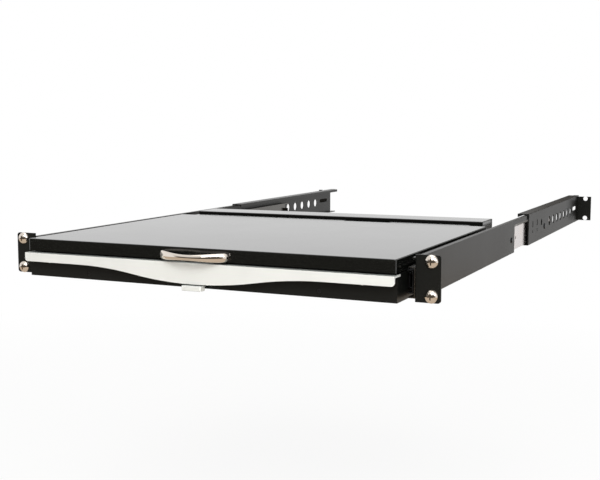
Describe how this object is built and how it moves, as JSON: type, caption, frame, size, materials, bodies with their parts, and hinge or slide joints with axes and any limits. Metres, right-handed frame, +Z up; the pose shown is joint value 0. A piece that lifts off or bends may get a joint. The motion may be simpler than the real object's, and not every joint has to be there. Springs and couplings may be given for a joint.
{
  "type": "rackmount lcd console drawer",
  "caption": "Low rack drawer on ball slides: a flip-up display lid with a bow handle over a keyboard and touchpad tray, on brackets that adjust to the rack's depth.",
  "frame": {"origin": "centre of the four front rack screws, on the back face of the ears, where they meet the rack's front posts", "axes": "+X to the right as seen from the front, +Y into the rack, +Z up"},
  "size_m": [0.4826, 0.9055, 0.0449],
  "materials": {
    "black_steel": "satin black powder coat",
    "zinc_steel": "bright zinc plate",
    "bright_steel": "plain bright steel",
    "hinge_steel": "oiled steel",
    "nickel": "polished nickel plate",
    "black_screw": "black zinc plate",
    "trim_aluminium": "satin anodised",
    "bezel_plastic": "fine textured black",
    "key_plastic": "matt black",
    "pad_plastic": "smooth satin black",
    "rubber": "black rubber",
    "display_glass": "anti-glare dark screen",
    "module_steel": "plain pressed steel",
    "circuit_board": "green solder mask",
    "lamp_plastic": "clear green lens"
  },
  "bodies": {
    "rails": {"front_bracket_left": "black_steel", "front_bracket_right": "black_steel", "slide_outer_left": "zinc_steel", "slide_outer_right": "zinc_steel", "rack_screws": "nickel", "bracket_screws": "black_screw"},
    "rear_mount_left": {"rear_bracket_left": "black_steel", "rear_clamp_screw_left": "black_screw"},
    "rear_mount_right": {"rear_bracket_right": "black_steel", "rear_clamp_screw_right": "black_screw"},
    "slide_middles": {"slide_middle_left": "zinc_steel", "slide_middle_right": "zinc_steel"},
    "outer_cages": {"ball_cages_outer": "bright_steel"},
    "inner_cages": {"ball_cages_inner": "bright_steel"},
    "drawer": {"slide_inner_left": "zinc_steel", "slide_inner_right": "zinc_steel", "slide_screws": "black_screw", "tray": "black_steel", "front_trim": "trim_aluminium", "deck": "black_steel", "keyboard_plate": "zinc_steel", "touchpad": "pad_plastic", "touchpad_board": "circuit_board", "tray_hinge_bracket_left": "hinge_steel", "tray_hinge_bracket_right": "hinge_steel", "lid_bumpers": "rubber", "connector_housing": "black_steel", "video_socket": "bright_steel", "jack_screws": "bright_steel", "usb_sockets": "bright_steel", "usb_tongues": "bezel_plastic", "power_inlet": "bezel_plastic", "connector_board": "circuit_board", "latch_guide": "zinc_steel", "front_screws": "black_screw"},
    "lid": {"lid_cover": "black_steel", "lid_bezel": "bezel_plastic", "display_glass": "display_glass", "display_module": "module_steel", "display_brackets": "zinc_steel", "display_board": "circuit_board", "button_board": "circuit_board", "power_lamp": "lamp_plastic", "lid_hinge_leaf_left": "hinge_steel", "lid_hinge_leaf_right": "hinge_steel", "hinge_pins": "bright_steel", "handle": "nickel", "handle_screws": "black_screw"},
    "key_row_space": {"key_row_space": "key_plastic"},
    "key_row_shift": {"key_row_shift": "key_plastic"},
    "key_row_home": {"key_row_home": "key_plastic"},
    "key_row_letters": {"key_row_letters": "key_plastic"},
    "key_row_numbers": {"key_row_numbers": "key_plastic"},
    "key_row_function": {"key_row_function": "key_plastic"},
    "touchpad_button_left": {"touchpad_button_left": "bezel_plastic"},
    "touchpad_button_right": {"touchpad_button_right": "bezel_plastic"},
    "display_buttons": {"display_buttons": "bezel_plastic"},
    "power_button": {"power_button": "bezel_plastic"},
    "latch": {"latch_tab": "trim_aluminium"}
  },
  "joints": [
    {"name": "drawer_slide", "type": "slide", "parent": "rails", "child": "drawer", "axis": [0, -1, 0], "range_m": [0, 0.4]},
    {"name": "middle_slide", "type": "slide", "parent": "rails", "child": "slide_middles", "axis": [0, -1, 0], "range_m": [0, 0.2]},
    {"name": "outer_cage_slide", "type": "slide", "parent": "rails", "child": "outer_cages", "axis": [0, -1, 0], "range_m": [0, 0.1]},
    {"name": "inner_cage_slide", "type": "slide", "parent": "rails", "child": "inner_cages", "axis": [0, -1, 0], "range_m": [0, 0.3]},
    {"name": "rear_depth_left", "type": "slide", "parent": "rails", "child": "rear_mount_left", "axis": [0, 1, 0], "range_m": [-0.06, 0.12]},
    {"name": "rear_depth_right", "type": "slide", "parent": "rails", "child": "rear_mount_right", "axis": [0, 1, 0], "range_m": [-0.06, 0.12]},
    {"name": "lid_hinge", "type": "hinge", "parent": "drawer", "child": "lid", "pos_m": [0, 0.312, 0.011], "axis": [-1, 0, 0], "range_deg": [0, 105]},
    {"name": "latch_pull", "type": "slide", "parent": "drawer", "child": "latch", "axis": [0, -1, 0], "range_m": [0, 0.004], "stiffness_N_per_m": 400},
    {"name": "key_row_space_press", "type": "slide", "parent": "drawer", "child": "key_row_space", "axis": [0, 0, -1], "range_m": [0, 0.002], "stiffness_N_per_m": 600, "springref_m": -0.002},
    {"name": "key_row_shift_press", "type": "slide", "parent": "drawer", "child": "key_row_shift", "axis": [0, 0, -1], "range_m": [0, 0.002], "stiffness_N_per_m": 600, "springref_m": -0.002},
    {"name": "key_row_home_press", "type": "slide", "parent": "drawer", "child": "key_row_home", "axis": [0, 0, -1], "range_m": [0, 0.002], "stiffness_N_per_m": 600, "springref_m": -0.002},
    {"name": "key_row_letters_press", "type": "slide", "parent": "drawer", "child": "key_row_letters", "axis": [0, 0, -1], "range_m": [0, 0.002], "stiffness_N_per_m": 600, "springref_m": -0.002},
    {"name": "key_row_numbers_press", "type": "slide", "parent": "drawer", "child": "key_row_numbers", "axis": [0, 0, -1], "range_m": [0, 0.002], "stiffness_N_per_m": 600, "springref_m": -0.002},
    {"name": "key_row_function_press", "type": "slide", "parent": "drawer", "child": "key_row_function", "axis": [0, 0, -1], "range_m": [0, 0.002], "stiffness_N_per_m": 600, "springref_m": -0.002},
    {"name": "touchpad_left_press", "type": "slide", "parent": "drawer", "child": "touchpad_button_left", "axis": [0, 0, -1], "range_m": [0, 0.0008], "stiffness_N_per_m": 900, "springref_m": -0.0008},
    {"name": "touchpad_right_press", "type": "slide", "parent": "drawer", "child": "touchpad_button_right", "axis": [0, 0, -1], "range_m": [0, 0.0008], "stiffness_N_per_m": 900, "springref_m": -0.0008},
    {"name": "display_buttons_press", "type": "slide", "parent": "lid", "child": "display_buttons", "axis": [0, 0, 1], "range_m": [0, 0.0005], "stiffness_N_per_m": 1200, "springref_m": -0.0005},
    {"name": "power_button_press", "type": "slide", "parent": "lid", "child": "power_button", "axis": [0, 0, 1], "range_m": [0, 0.0005], "stiffness_N_per_m": 1200, "springref_m": -0.0005}
  ],
  "couplings": [
    {"joint": "middle_slide", "follows": "drawer_slide", "ratio": 0.5},
    {"joint": "outer_cage_slide", "follows": "drawer_slide", "ratio": 0.25},
    {"joint": "inner_cage_slide", "follows": "drawer_slide", "ratio": 0.75}
  ]
}
